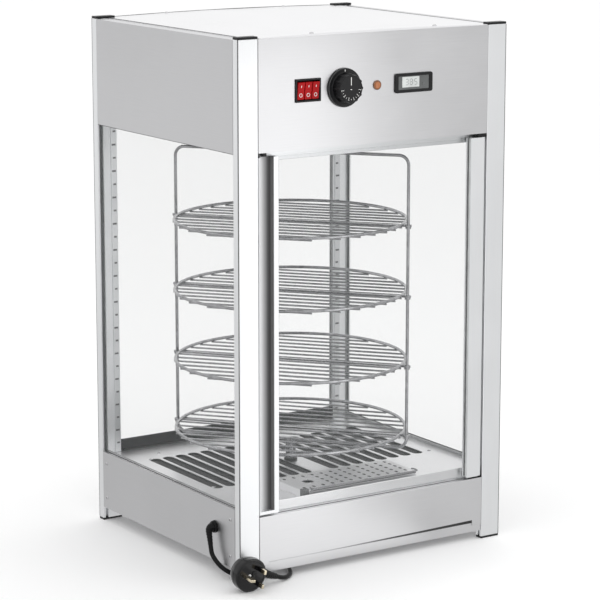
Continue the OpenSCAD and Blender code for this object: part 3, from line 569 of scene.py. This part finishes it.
def add_plug():
    profile = [(23.0, 0), (24.6, 0.3), (25.7, 1.2), (26, 2.4), (26, 9), (25.5, 9.4), (25.5, 10.2),
               (26, 10.6), (26, 13.5), (25.2, 17), (23.6, 21), (21.2, 24.6), (17.6, 28.2), (13.4, 31),
               (8, 32.6), (2, 33)]
    shell = moved(lathe(profile, 96, scallop), PLUG)
    parts = [(*shell, 0)]
    # raised rim, fuse cover, cover screw and pin sleeves on the pin face
    face = []
    for i in range(97):
        a = 2 * math.pi * i / 96
        face.append(tuple(PLUG @ Vector((22.2 * math.cos(a), 22.2 * math.sin(a), -0.1))))
    parts.append((*tube(face, 0.55, 8), 0))
    fuse = prism(rounded_rect(7.5, 15, 1.2), -0.9, 0.4)
    fuse_place = PLUG @ Matrix.Translation((4.5, 0, 0))
    # painted shade: dark marks for the slots in the fuse cover and the cover screw
    fuse_slot = prism(rounded_rect(1.2, 5, 0.5), -1.05, -0.2)
    parts.append((*moved(fuse, fuse_place), 0))
    parts.append((*moved(fuse_slot, fuse_place), 1))
    screw = lathe([(2.6, 0.4), (2.6, -0.5), (2.1, -0.8), (0.5, -0.85)], 24)
    screw_place = PLUG @ Matrix.Translation((-3.6, 0, 0))
    screw_slot = prism(rounded_rect(0.7, 3.6, 0.3), -1.0, -0.4)
    parts.append((*moved(screw, screw_place), 2))
    parts.append((*moved(screw_slot, screw_place), 1))
    for y in (-11, 11):
        sleeve = prism(rounded_rect(4.25, 6.65, 0.5), -9.0, 0.3)
        parts.append((*moved(sleeve, PLUG @ Matrix.Translation((11, y, 0))), 0))
    mats = [MAT_PLUG, MAT_RECESS_SHADE, MATS["screw_steel"]]
    shell_piece = piece("plug_shell", parts, mats, "case", ("plug_body",))
    line = catmull(BOOT, 8)
    radii = []
    for i in range(len(line)):
        t = i / (len(line) - 1)
        groove = 0.45 * (math.cos(i * 2 * math.pi / 4) > 0.5) if 0.1 < t < 0.8 else 0.0
        radii.append(4.2 + 3.3 * t - groove)
    boot = piece("plug_boot", [(*tube(line, radii, 24), 0)], [MATS["cord_rubber"]], "case")
    return shell_piece, boot


cord = add_cord()
tie = add_tie()
gland = add_gland()
plug_shell, plug_boot = add_plug()


# ---------------------------------------------------------------- CAD nodes

EDGE_WIDTH = {
    "post_front_left": 0.9, "post_front_right": 0.9, "post_rear_left": 0.9, "post_rear_right": 0.9,
    "post_end_caps": 0.8, "slotted_strips": 0.25, "control_panel": 0.5, "top_panel_left": 0.5,
    "top_panel_right": 0.5, "top_panel_rear": 0.5, "top_lid": 0.4, "ceiling_plate": 0.3,
    "ceiling_bush": 0.5, "ceiling_lamp": 2.0, "door_header": 0.5, "door_hinge_brackets": 0.6,
    "door_catch": 0.6, "base_fascia": 0.6, "base_panel_left": 0.5, "base_panel_right": 0.5,
    "base_panel_rear": 0.5, "front_bottom_rail": 0.8, "bottom_plate": 0.3, "floor_plate": 0.35,
    "floor_bush": 0.6, "rear_glass_rail": 0.5, "terminal_block": 0.8, "gear_motor": 1.0,
    "thermostat_body": 0.8, "switch_bezel": 0.7, "thermometer": 0.5, "plug_pins": 0.6,
    "door_handle": 0.9, "door_hinge_stile": 0.8, "tray_pan": 0.3, "tray_lid": 0.2,
    "drive_shaft": 0.4, "side_glass_left": 0.4, "side_glass_right": 0.4, "rear_glass": 0.4,
    "door_glass": 0.4,
}
# side panels take the shaded copies of the steel
SHADED_SIDE_MATERIAL = {
    "top_panel_left": MAT_SIDE_SHADED, "top_panel_right": MAT_SIDE_SHADED,
    "base_panel_left": MAT_BASE_SIDE_SHADED, "base_panel_right": MAT_BASE_SIDE_SHADED,
}


def dress_node(name, mat):
    """Material, welded seams, softened edges; the mesh's own points stay as they are."""
    obj = nodes[name]
    mesh = obj.data
    mesh.materials.clear()
    mesh.materials.append(mat)
    if "custom_normal" in mesh.attributes:
        mesh.attributes.remove(mesh.attributes["custom_normal"])
    for poly in mesh.polygons:
        poly.material_index = 0
        poly.use_smooth = True
    weld = obj.modifiers.new("weld", "WELD")
    weld.merge_threshold = 0.00001
    width = EDGE_WIDTH.get(name, 0.0)
    if width > 0:
        flat = obj.modifiers.new("flat", "DECIMATE")
        flat.decimate_type = "DISSOLVE"
        flat.angle_limit = math.radians(0.6)
        soften(obj, width)
    else:
        weighted = obj.modifiers.new("normals", "WEIGHTED_NORMAL")
        weighted.keep_sharp = True


def dress_nodes():
    for part in record["subparts"]:
        name = part["node"]
        dress_node(name, SHADED_SIDE_MATERIAL.get(name, MATS[part["material_slot"]]))


def edge_glass(name, axis):
    """The thin sides of a pane look denser than its faces."""
    mesh = nodes[name].data
    mesh.materials.append(MAT_GLASS_EDGE)
    for poly in mesh.polygons:
        if abs(poly.normal[axis]) < 0.5:
            poly.material_index = 1


dress_nodes()
edge_glass("side_glass_left", 0)
edge_glass("side_glass_right", 0)
edge_glass("rear_glass", 1)
edge_glass("door_glass", 1)


# ---------------------------------------------------------------- controls

CONTROL_Z = 728.0
PANEL_Y = -205.0
KNOB_X = -58.0
SWITCH_X = -121.0
LAMP_X = 1.0
GAUGE_X = 66.5


def flat_mark(w, h, r, depth=0.12):
    return prism(rounded_rect(w, h, r, 3), -0.05, depth)


def flute(a, r, h):
    """Twelve ribs round the grip of the knob."""
    return r + (1.55 * max(0.0, math.cos(12 * a)) ** 0.7 - 0.55) * (4.4 < h < 19.3)


def add_knob():
    place = to_front(KNOB_X, PANEL_Y, CONTROL_Z)
    skirt = lathe([(4, 0.6), (28.0, 0.6), (28.6, 0.8), (28.8, 1.3), (28.8, 2.6), (28.3, 3.3), (27.6, 3.6),
                   (27.0, 3.5), (23.5, 3.3), (22.6, 4.2), (4, 4.2)], 96)
    stem = lathe([(3, -12), (3, 1.0)], 32)
    grip = lathe([(20.8, 3.9), (21.4, 4.6), (21.3, 10), (21.1, 17.2), (20.6, 18.6), (19.6, 19.6),
                  (18.9, 19.95), (18.3, 19.9), (18.0, 19.5)], 144, flute)
    face = lathe([(18.1, 19.2), (18.0, 19.5), (10, 19.45), (3.0, 19.45)], 96)
    ring = []
    for i in range(97):
        a = 2 * math.pi * i / 96
        ring.append((28.35 * math.cos(a), 28.35 * math.sin(a), 3.15))
    parts = [(*moved(skirt, place), 0), (*moved(stem, place), 0), (*moved(grip, place), 0),
             (*moved(face, place), 1), (*moved(tube(ring, 0.4, 8), place), 1)]
    mats = [MATS["black_plastic"], MAT_DARK_GREY]
    piece("knob_body", parts, mats, "knob", ("thermostat_knob",), smooth=40)

    marks = []
    for i in range(11):
        a = math.radians(-172 + 164 * i / 10)
        long = i % 2 == 0
        r = 14.6 if long else 15.6
        turn = Matrix.Rotation(a, 4, "Z") @ Matrix.Translation((r, 0, 19.45))
        marks.append((*moved(flat_mark(3.2 if long else 1.8, 0.55, 0.25), place @ turn), 0))
        if long:
            cross = Matrix.Rotation(a, 4, "Z") @ Matrix.Translation((17.0, 0, 19.45))
            marks.append((*moved(flat_mark(0.5, 2.0, 0.2), place @ cross), 0))
    pointer = Matrix.Translation((0, 10.8, 19.45))
    marks.append((*moved(flat_mark(1.1, 12.0, 0.5), place @ pointer), 0))
    marks.append((*moved(flat_mark(2.6, 0.9, 0.4), place @ Matrix.Translation((0, -1.2, 19.45))), 0))
    marks.append((*moved(flat_mark(1.3, 3.6, 0.5), place @ Matrix.Translation((0, 25.4, 3.35))), 0))
    piece("knob_marks", marks, [MAT_MARK], "knob")


ROCKER_HALF = 12.6


def rocker_front(z):
    """How far the dished face of a rocker stands out, at a height from its middle."""
    return -4.45 + 1.1 * (1 - (z / ROCKER_HALF) ** 2)


def add_rocker(name, number):
    """A dished rocker with a ring mark at its lower end and a bar at its upper end."""
    place = Matrix.Translation((SWITCH_X + number * 12.7, -203.5, CONTROL_Z)) \
        @ Matrix.Rotation(math.radians(8), 4, "X")
    outline = [(ROCKER_HALF, 0.0)]
    for i in range(17):
        z = ROCKER_HALF - 2 * ROCKER_HALF * i / 16
        outline.append((z, rocker_front(z)))
    outline.append((-ROCKER_HALF, 0.0))
    cap = bar_between([(-5.7, y, z) for z, y in outline], [(5.7, y, z) for z, y in outline])
    across = place @ Matrix.Rotation(math.radians(90), 4, "Y")
    pivot = moved(lathe([(2, -5.7), (3.9, -5.6), (3.9, 5.6), (2, 5.7)], 32), across)
    body = [(*moved(cap, place), 0), (*pivot, 0)]
    piece(name + "_cap", body, [MATS["red_rocker"]], name, (name,), bevel=0.5, segments=3)
    ring = []
    for i in range(33):
        a = 2 * math.pi * i / 32
        z = -6.2 + 2.5 * math.sin(a)
        ring.append((2.3 * math.cos(a), rocker_front(z) - 0.05, z))
    bar_z = 6.6
    bar = to_front(0, rocker_front(bar_z) - 0.05, bar_z)
    marks = [(*moved(tube(ring, 0.42, 8), place), 0),
             (*moved(flat_mark(0.9, 3.4, 0.4, 0.2), place @ bar), 0)]
    piece(name + "_marks", marks, [MAT_MARK], name)


def facet(a, r, h):
    """Sixteen shallow facets round the shoulder of the lens."""
    return r * (1 + 0.03 * math.cos(16 * a)) if 1.4 < h < 3.2 else r


def add_pilot_lamp():
    place = to_front(LAMP_X, PANEL_Y, CONTROL_Z)
    ring = lathe([(5.0, -16), (5.0, 0), (6.9, 0.0), (7.2, 0.3), (7.2, 1.0), (6.7, 1.6), (5.9, 1.8),
                  (5.5, 1.4)], 64)
    piece("lamp_ring", [(*moved(ring, place), 0)], [MAT_COPPER], "case", ("pilot_lamp",))
    lens = lathe([(5.4, 1.2), (5.3, 1.8), (4.9, 2.5), (4.1, 3.1), (2.9, 3.45), (1.2, 3.6),
                  (0.3, 3.6)], 96, facet)
    piece("lamp_lens", [(*moved(lens, place), 0)], [MATS["amber_lens"]], "case", smooth=60)


def add_gauge():
    place = to_front(GAUGE_X, PANEL_Y, CONTROL_Z)
    window = prism(rounded_rect(55.6, 20.1, 0.8), 0.95, 1.5)
    display = prism(rounded_rect(31.0, 15.6, 0.6), 1.4, 1.75)
    parts = [(*moved(window, place), 0), (*moved(display, place @ Matrix.Translation((-5.4, 1.2, 0))), 1)]
    for x, lit in ((-12.2, "abcdg"), (-4.6, "abcdefg"), (3.4, "acdfg")):
        bars = {"a": (0, 4.2, 3.4, 0.8), "g": (0, 0, 3.4, 0.8), "d": (0, -4.2, 3.4, 0.8),
                "b": (2.2, 2.1, 0.8, 3.2), "c": (2.2, -2.1, 0.8, 3.2),
                "f": (-2.2, 2.1, 0.8, 3.2), "e": (-2.2, -2.1, 0.8, 3.2)}
        for key in lit:
            bx, by, bw, bh = bars[key]
            spot = place @ Matrix.Translation((x + bx, 1.2 + by, 1.75))
            parts.append((*moved(flat_mark(bw, bh, 0.3, 0.06), spot), 2))
    button = lathe([(0.5, 1.3), (2.0, 1.4), (2.0, 2.0), (1.6, 2.3), (0.4, 2.35)], 32)
    parts.append((*moved(button, place @ Matrix.Translation((17.5, -2.5, 0))), 0))
    mats = [MAT_WINDOW, MAT_DISPLAY, MAT_SEGMENT]
    piece("gauge_window", parts, mats, "case")


add_knob()
add_rocker("rocker_left", -1)
add_rocker("rocker_middle", 0)
add_rocker("rocker_right", 1)
add_pilot_lamp()
add_gauge()


# ---------------------------------------------------------------- screws

def pan_head(place, r, h):
    """A pan head with a cross recess painted as dark shade, standing on its frame's origin."""
    head = lathe([(0.6, -0.3), (r, -0.1), (r, h * 0.3), (r * 0.93, h * 0.7), (r * 0.7, h * 0.95),
                  (r * 0.3, h * 1.04), (0.2, h * 1.05)], 40)
    parts = [(*moved(head, place), 0)]
    for turn in (0.3, 0.3 + math.pi / 2):
        slot = prism(rounded_rect(r * 1.1, r * 0.24, r * 0.1, 3), h * 0.7, h * 1.09)
        parts.append((*moved(slot, place @ Matrix.Rotation(turn, 4, "Z")), 1))
    return parts


LID_EDGE_Z = 806.8
LID_CROWN = 3.0
LID_HALF_WIDTH = 218.0


def lid_height(x):
    """Top of the crowned lid, across its width."""
    return LID_EDGE_Z + LID_CROWN * (1 - (x / LID_HALF_WIDTH) ** 2)


def add_screws():
    parts = []
    for x in (-110, 110):
        for y in (-198, 217):
            parts += pan_head(Matrix.Translation((x, y, lid_height(x))), 3.4, 1.6)
    for side, turn in ((-1, -90), (1, 90)):
        for y in (-178.5, 198.5):
            for z in (40, 96):
                out = Matrix.Translation((side * 240.0, y, z)) @ Matrix.Rotation(math.radians(turn), 4, "Y")
                parts += pan_head(out, 2.6, 1.2)
    mats = [MATS["screw_steel"], MAT_RECESS_SHADE]
    piece("pan_screws", parts, mats, "case", ("case_screws",), smooth=50)
    floor = []
    for x, y in ((-194, 138), (-163, 165), (-194, -55), (209, -60), (194, 138), (163, 165), (0, 190)):
        floor += pan_head(Matrix.Translation((x, y, 110)), 3.0, 1.1)
    piece("floor_screws", floor, mats, "case", smooth=50)


add_screws()


# ---------------------------------------------------------------- seals

def add_side_gaskets(name, side):
    """Lipped strips that close the grooves round a side pane: dark outside, clear inside."""
    parts = []
    for finish, a, b in ((0, 2.0, 3.1), (1, -3.1, -2.0)):
        x0, x1 = sorted((side * (233.5 + a), side * (233.5 + b)))
        for y0, y1 in ((-191.6, -189.4), (209.4, 211.6)):
            parts.append((*block((x0, y0, 116.2), (x1, y1, 640.4)), finish))
        parts.append((*block((x0, -190.4, 114.4), (x1, 210.4, 116.2)), finish))
        parts.append((*block((x0, -190.4, 640.4), (x1, 210.4, 642.2)), finish))
    piece(name, parts, [MAT_SEAM_AND_SHADOW, MAT_CLEAR_SEAL], "case", bevel=0.4)


def add_door_seals():
    """Slim rubber beads between the door glass and both of its profiles."""
    parts = [(*block((175.1, -203.2, 104), (176.2, -201.0, 635)), 0),
             (*block((175.3, -197.0, 104), (176.2, -196.2, 635)), 0),
             (*block((-170.95, -203.4, 104), (-170.0, -201.0, 635)), 1)]
    mats = [MAT_CLEAR_SEAL, MAT_SEAM_AND_SHADOW]
    piece("door_seal_beads", parts, mats, "door", ("door_seals",), bevel=0.3)


def add_rear_gaskets():
    parts = []
    for side in (-1, 1):
        for a, b in ((-3.1, -2.0), (2.0, 3.1)):
            x0, x1 = sorted((side * 206.6, side * 204.4))
            parts.append((*block((x0, 218 + a, 127), (x1, 218 + b, 642)), 0))
    piece("rear_gasket", parts, [MAT_CLEAR_SEAL], "case", bevel=0.4)


add_side_gaskets("gasket_left", -1)
add_side_gaskets("gasket_right", 1)
add_rear_gaskets()
add_door_seals()


# ---------------------------------------------------------------- water tray trim

def add_tray_trim():
    z = 122.6
    wire = [(-97, -176, z), (-97.5, -181, z), (-95, -184.2, z), (-88, -185, z), (60, -185, z),
            (88, -185, z), (94.5, -184.4, z), (97, -181, z), (97.2, -174, z), (96.8, -168, z - 0.8)]
    parts = [(*tube(catmull(wire, 8), 1.25, 14), 0)]
    for x in (-60, 0, 60):
        clip = [(x - 3, -182.4, z - 0.6), (x - 2.4, -185, z + 1.2),
                (x + 2.4, -185, z + 1.2), (x + 3, -182.4, z - 0.6)]
        parts.append((*tube(catmull(clip, 4), 0.7, 8), 0))
    piece("tray_wire", parts, [MATS["motor_metal"]], "tray_lid")
    corner = prism(rounded_rect(12, 10, 2.2), -11.0, 0.9)
    place = Matrix.Translation((-109.0, -179.0, 122.0))
    rim = []
    for i in range(49):
        a = 2 * math.pi * i / 48
        rim.append((-80 + 9.1 * math.cos(a), -144 + 9.1 * math.sin(a), 122.15))
    # painted shadow along the pan's rolled front edge
    seam = block((-102.0, -183.5, 118.9), (94.4, -182.6, 120.3))
    trim = [(*moved(corner, place), 0), (*tube(rim, 0.7, 10), 1), (*seam, 2)]
    # painted shade: dark patches over the lid's holes
    hole_shades = []
    for i in range(12):
        for j in range(5):
            if i > 2 or j < 1 or j > 3:
                spot = Matrix.Translation((-10 + (i - 5.5) * 17, -142 + (j - 2) * 14, 0))
                hole = prism(rounded_rect(4.2, 7.6, 2.0, 4), 121.9, 122.06)
                hole_shades.append((*moved(hole, spot), 0))
    piece("tray_lid_hole_shades", hole_shades, [MAT_SHADE], "tray_lid")
    mats = [MAT_GREY_BLOCK_AND_SLOT_SHADE, MATS["screw_steel"], MAT_SEAM_AND_SHADOW]
    piece("tray_corner", trim, mats, "tray_lid", bevel=0.5)


add_tray_trim()


# ---------------------------------------------------------------- sheet details

def add_handle_cove_shade():
    """Thin sheet that follows the cove of the handle, with painted shade: pale at its outer edge and dark at
    its inner one.
    """
    z0, z1 = 108.0, 636.0
    cx, cy = -188.5, -213.85
    first, steps = 148.9, 16
    outer = []
    inner = []
    for i in range(steps + 1):
        a = math.radians(first - (first - 90) * i / steps)
        outer.append((cx + 17.8 * math.cos(a), cy + 17.8 * math.sin(a)))
        inner.append((cx + 17.2 * math.cos(a), max(-204.95, cy + 17.2 * math.sin(a))))
    outer += [(-183.0, -196.05), (-181.0, -196.6), (-179.6, -198.4), (-179.55, -204.6)]
    back = [(-180.2, -204.6), (-180.3, -199.2), (-181.4, -197.5), (-183.2, -196.75)]
    parts = [(*prism(outer + back + inner[::-1], z0, z1), 0)]
    piece("handle_cove_shade", parts, [MAT_COVE_PAINTED_SHADE], "door", smooth=50)


def add_strip_slot_shades():
    # painted shade: grey plates set into the strips' slots
    parts = []
    for i in range(25):
        z = 125.0 + 21.0 * i
        w = 5.0 if i % 2 == 0 else 7.0
        x = 211.5 if i % 2 == 0 else 212.5
        for side in (-1, 1):
            a, b = sorted((side * (x - w / 2 + 0.1), side * (x + w / 2 - 0.1)))
            for y0, y1 in ((-190.9, -190.1), (210.1, 210.9)):
                parts.append((*block((a, y0, z - 1.4), (b, y1, z + 1.4)), 0))
    piece("strip_slot_painted_shade", parts, [MAT_GREY_BLOCK_AND_SLOT_SHADE], "case")


def add_corner_shadow_lines():
    """Painted shadow of the rebate that runs down the outer corner of each post."""
    parts = []
    for sx in (-1, 1):
        for y0, y1 in ((-205.12, -203.6), (223.6, 225.08)):
            x0, x1 = sorted((sx * 240.12, sx * 238.7))
            parts.append((*block((x0, y0, 3.2), (x1, y1, 806.3)), 0))
    piece("post_corner_shadow_lines", parts, [MAT_SEAM_AND_SHADOW], "case", bevel=0.3)


def add_front_apron():
    """Folded front edge of the floor, a dark bead on the door sill that paints the shadow of the door's
    bottom gap, and a tapered strip over the front rail that paints the gap's shadow.
    """
    fold = [(-190.4, 99.4), (-190.4, 115.8), (-190.9, 117.2), (-191.8, 117.4), (-192.3, 116.6),
            (-192.0, 99.4), (-203.6, 98.6), (-203.6, 97.4), (-191.4, 97.8)]
    apron = bar_between([(-205.0, y, z) for y, z in fold], [(205.0, y, z) for y, z in fold])
    piece("floor_front_fold", [(*apron, 0)], [MATS["floor_steel"]], "case", bevel=0.25)
    # painted shadow: dark bead for the gap under the door
    bead = tube([(-168.0, -196.5, 99.9), (0.0, -196.5, 99.9), (174.0, -196.5, 99.9)], 0.8, 10)
    piece("door_gap_shadow_bead", [(*bead, 0)], [MAT_SEAM_AND_SHADOW], "case")
    # painted shadow: tapered dark strip in the gap over the front rail
    taper = [(-187.5, 28.4), (187.5, 28.4), (187.5, 33.0), (60, 31.2), (-60, 30.1), (-187.5, 29.3)]
    seal = bar_between([(x, -205.25, z) for x, z in taper], [(x, -200.0, z) for x, z in taper])
    piece("rail_gap_shadow_strip", [(*seal, 0)], [MAT_RAIL_GAP_SHADE], "case", bevel=0.2)


def add_lid_trim():
    """Turned-down front hem of the crowned lid and the dark bead round its other edges."""
    steps = 28
    across = [-204.0 + 408.0 * i / steps for i in range(steps + 1)]
    hem_v, hem_f = [], []
    for x in across:
        top = lid_height(x) - 0.1
        hem_v += [(x, -204.7, 806.1), (x, -204.7, top - 0.5), (x, -204.3, top), (x, -202.6, top),
                  (x, -202.6, 806.1)]
    for i in range(steps):
        for k in range(5):
            a, b = i * 5 + k, i * 5 + (k + 1) % 5
            hem_f.append((a, b, b + 5, a + 5))
    hem_f.append((0, 1, 2, 3, 4))
    hem_f.append(tuple(steps * 5 + k for k in (4, 3, 2, 1, 0)))
    piece("lid_front_hem", [(hem_v, hem_f, 0)], [MATS["lid_steel"]], "case", smooth=50)
    rear = [(x, 223.2, lid_height(x)) for x in across]
    parts = [(*tube(rear, 0.55, 8), 0)]
    for x in (-217.6, 217.6):
        parts.append((*tube([(x, -190.0, 806.9), (x, 0.0, 806.9), (x, 210.0, 806.9)], 0.5, 8), 0))
    piece("lid_bead", parts, [MAT_SEAM_AND_SHADOW], "case", smooth=60)


def add_floor_slot_shade():
    """Dark ribbed sheet just under the slotted floor, over the heaters: painted shade seen through the
    slots.
    """
    verts, faces = [], []
    rows = 40
    for i in range(rows + 1):
        y = -188.0 + 400.0 * i / rows
        z = 107.4 - (0.8 if i % 4 in (1, 2) else 0.0)
        verts += [(-213.0, y, z), (213.0, y, z), (213.0, y, z - 1.0), (-213.0, y, z - 1.0)]
    for i in range(rows):
        for k in range(4):
            a, b = i * 4 + k, i * 4 + (k + 1) % 4
            faces.append((a, b, b + 4, a + 4))
    faces.append((3, 2, 1, 0))
    faces.append(tuple(rows * 4 + k for k in range(4)))
    piece("floor_slot_shade_sheet", [(verts, faces, 0)], [MAT_SHADE], "case", smooth=20)


def add_tray_shade_sheet():
    """Water in the pan, a nearly flat surface with a raised meniscus at the walls, coloured near black as
    painted shade under the lid's holes.
    """
    x0, x1, y0, y1 = -112.8, 92.8, -181.8, -102.2
    n = 16
    verts, faces = [], []
    for j in range(n + 1):
        for i in range(n + 1):
            u, v = i / n, j / n
            edge = max(abs(2 * u - 1), abs(2 * v - 1)) ** 12
            verts.append((x0 + (x1 - x0) * u, y0 + (y1 - y0) * v, 118.2 + 0.5 * edge))
    for j in range(n):
        for i in range(n):
            a = j * (n + 1) + i
            faces.append((a, a + 1, a + n + 2, a + n + 1))
    piece("tray_shade_sheet", [(verts, faces, 0)], [MAT_TRAY_SHADE], "water_tray", smooth=60)


add_handle_cove_shade()
add_strip_slot_shades()
add_corner_shadow_lines()
add_front_apron()
add_lid_trim()
add_floor_slot_shade()
add_tray_shade_sheet()


# ---------------------------------------------------------------- stage, light, finish

def plain(name, color, roughness):
    return base_material(name, color, 0.0, roughness)[0]


def stage_sheet(name, corners, mat, glossy_only=False, hide_glossy=False):
    mesh = bpy.data.meshes.new(name)
    mesh.from_pydata([tuple(c) for c in corners], [], [(0, 1, 2, 3)])
    mesh.materials.append(mat)
    obj = bpy.data.objects.new(name, mesh)
    scene.collection.objects.link(obj)
    if glossy_only:
        obj.visible_camera = False
        obj.visible_diffuse = False
        obj.visible_shadow = False
        obj.visible_transmission = False
    if hide_glossy:
        obj.visible_glossy = False


def glow(name, value):
    mat, tree, shader = base_material(name, (0, 0, 0), 0.0, 1.0)
    shader.inputs["Emission Color"].default_value = (value, value, value, 1.0)
    shader.inputs["Emission Strength"].default_value = 1.0
    shader.inputs["Specular IOR Level"].default_value = 0.0
    return mat


def soft_light(name, place, target, size, power):
    data = bpy.data.lights.new(name, "AREA")
    data.shape = "RECTANGLE"
    data.size, data.size_y = size
    data.energy = power
    obj = bpy.data.objects.new(name, data)
    scene.collection.objects.link(obj)
    obj.location = place
    aim = Vector(target) - Vector(place)
    obj.rotation_euler = aim.to_track_quat("-Z", "Y").to_euler()
    obj.visible_camera = False


def sheet_corners(x0, y0, x1, y1, z):
    return [(x0, y0, z), (x1, y0, z), (x1, y1, z), (x0, y1, z)]


# the camera sees a matt floor; mirrors see an even glow with a brighter patch before the front
FAR = 30.0
stage_sheet("floor", sheet_corners(-FAR, -FAR, FAR, FAR, 0),
            plain("floor_white", (0.97, 0.97, 0.97), 0.9), hide_glossy=True)
stage_sheet("floor_reflected", sheet_corners(-FAR, -FAR, FAR, FAR, -0.002),
            glow("floor_glow", 0.71), glossy_only=True)
stage_sheet("floor_patch", sheet_corners(-0.2, -1.2, 0.14, -0.26, -0.001),
            glow("patch_glow", 1.25), glossy_only=True)

world = bpy.data.worlds.new("world")
scene.world = world
world.use_nodes = True
world.node_tree.nodes["Background"].inputs["Color"].default_value = (1.0, 1.0, 1.0, 1.0)
world.node_tree.nodes["Background"].inputs["Strength"].default_value = 1.05

soft_light("front_strip", (0.10, -0.64, 0.34), (-0.06, -0.2, 0.36), (0.26, 0.9), 0.7)
soft_light("left_box", (-1.35, 1.65, 0.35), (-0.24, 0.0, 0.5), (0.7, 0.5), 0.4)
soft_light("top_box", (0.3, 0.3, 2.6), (0.0, 0.0, 0.4), (2.0, 2.0), 7.5)

scene.view_settings.view_transform = "Standard"
scene.view_settings.look = "None"
scene.view_settings.exposure = 0.0
